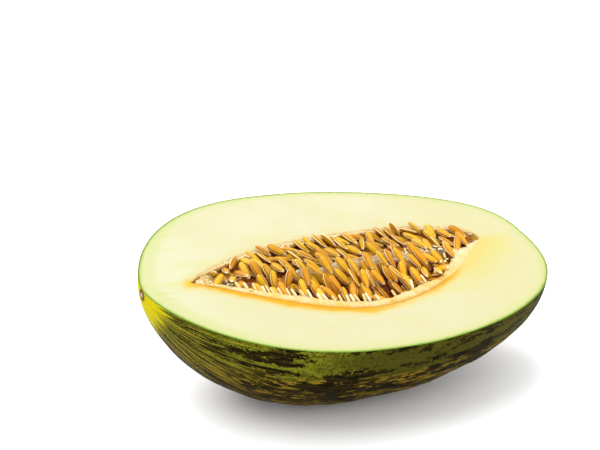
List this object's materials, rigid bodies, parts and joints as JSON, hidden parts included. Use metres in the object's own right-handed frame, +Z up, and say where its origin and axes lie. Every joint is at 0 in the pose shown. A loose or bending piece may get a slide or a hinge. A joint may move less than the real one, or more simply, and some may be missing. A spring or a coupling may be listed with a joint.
{
  "type": "half melon",
  "caption": "Half of a long green-skinned melon cut lengthwise, cut face up, with its pale flesh, seed cavity, pulp and loose seeds, resting on a small flat spot.",
  "frame": {"origin": "middle of the bounding box, at the bottom, on the surface that the half melon rests on", "axes": "+X along the fruit from its stem end to its blossom end, +Z up, and the cut face tips towards -Y"},
  "size_m": [0.264, 0.1732, 0.1049],
  "materials": {
    "rind_and_flesh": "pale juicy flesh inside a thin dark green mottled rind, damp satin",
    "pulp": "wet orange-yellow pulp, glossy",
    "seeds": "golden tan seed coat, wet gloss"
  },
  "bodies": {
    "root": {"rind_and_flesh": "rind_and_flesh", "pulp_bed": "pulp", "seed_01": "seeds", "seed_02": "seeds", "seed_03": "seeds", "seed_04": "seeds", "seed_05": "seeds", "seed_06": "seeds", "seed_07": "seeds", "seed_08": "seeds", "seed_09": "seeds", "seed_10": "seeds", "seed_11": "seeds", "seed_12": "seeds", "seed_13": "seeds", "seed_14": "seeds", "seed_15": "seeds", "seed_16": "seeds", "seed_17": "seeds", "seed_18": "seeds", "seed_19": "seeds", "seed_20": "seeds", "seed_21": "seeds", "seed_22": "seeds", "seed_23": "seeds", "seed_24": "seeds", "seed_25": "seeds", "seed_26": "seeds", "seed_27": "seeds", "seed_28": "seeds", "seed_29": "seeds", "seed_30": "seeds", "seed_31": "seeds", "seed_32": "seeds", "seed_33": "seeds", "seed_34": "seeds", "seed_35": "seeds", "seed_36": "seeds", "seed_37": "seeds", "seed_38": "seeds", "seed_39": "seeds", "seed_40": "seeds", "seed_41": "seeds", "seed_42": "seeds", "seed_43": "seeds", "seed_44": "seeds", "seed_45": "seeds", "seed_46": "seeds", "seed_47": "seeds", "seed_48": "seeds", "seed_49": "seeds", "seed_50": "seeds", "seed_51": "seeds", "seed_52": "seeds", "seed_53": "seeds", "seed_54": "seeds", "seed_55": "seeds", "seed_56": "seeds"}
  },
  "joints": []
}
